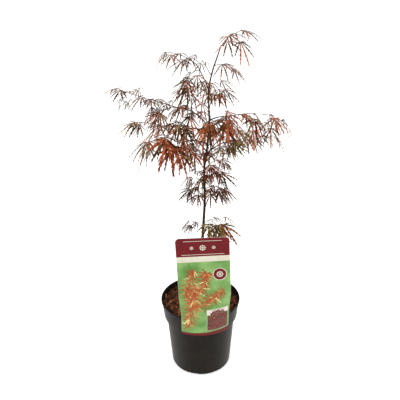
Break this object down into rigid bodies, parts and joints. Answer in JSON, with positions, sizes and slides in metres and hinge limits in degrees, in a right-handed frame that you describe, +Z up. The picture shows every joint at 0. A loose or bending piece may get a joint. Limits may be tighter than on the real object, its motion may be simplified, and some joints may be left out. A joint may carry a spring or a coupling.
{
  "type": "potted weeping maple",
  "caption": "Young weeping cut-leaf maple with a leaning stem, arching boughs and dark red leaves, in a round nursery pot with a plant label.",
  "frame": {"origin": "centre of the pot's flat underside", "axes": "+Z up along the pot's axis, -Y towards the side that carries the plant label, +X to the right as seen from that side"},
  "size_m": [0.4036, 0.321, 0.8065],
  "materials": {
    "pot_plastic": "matt charcoal moulded polypropylene",
    "potting_mix": "damp bark-based potting mix with reddish-brown bark chips",
    "label_card": null,
    "bark": "dark grey-brown young bark",
    "foliage_rust": "orange-red young leaves",
    "foliage_burgundy": "deep burgundy leaves",
    "foliage_bronze": "bronze-brown leaves",
    "foliage_olive": "olive-bronze leaves"
  },
  "bodies": {
    "root": {"bough_back_left": "bark", "bough_back_right": "bark", "bough_left_arch": "bark", "bough_left_front": "bark", "bough_left_middle": "bark", "bough_right_level": "bark", "bough_right_low": "bark", "bough_right_upper": "bark", "bough_top_left": "bark", "leaves_back_high": "foliage_rust", "leaves_back_left": "foliage_bronze", "leaves_back_low": "foliage_bronze", "leaves_back_middle": "foliage_burgundy", "leaves_back_right": "foliage_rust", "leaves_back_upper": "foliage_bronze", "leaves_centre_low": "foliage_burgundy", "leaves_foot_left": "foliage_bronze", "leaves_foot_right": "foliage_rust", "leaves_front": "foliage_rust", "leaves_leader": "foliage_rust", "leaves_leader_left": "foliage_bronze", "leaves_leader_side": "foliage_rust", "leaves_left_fall": "foliage_rust", "leaves_left_inner": "foliage_olive", "leaves_left_long": "foliage_olive", "leaves_left_middle": "foliage_rust", "leaves_left_red": "foliage_rust", "leaves_left_side": "foliage_olive", "leaves_left_under": "foliage_bronze", "leaves_lower_left": "foliage_bronze", "leaves_lower_left_low": "foliage_burgundy", "leaves_lower_right": "foliage_burgundy", "leaves_lower_right_low": "foliage_rust", "leaves_right_dark": "foliage_burgundy", "leaves_right_inner": "foliage_bronze", "leaves_right_level": "foliage_olive", "leaves_right_low": "foliage_olive", "leaves_right_red": "foliage_rust", "leaves_right_upper": "foliage_bronze", "leaves_top_back": "foliage_bronze", "leaves_top_dark": "foliage_burgundy", "leaves_top_left": "foliage_bronze", "leaves_top_left_low": "foliage_bronze", "leaves_top_middle": "foliage_bronze", "leaves_top_right": "foliage_burgundy", "plant_label": "label_card", "pot": "pot_plastic", "soil": "potting_mix", "trunk": "bark"}
  },
  "joints": []
}
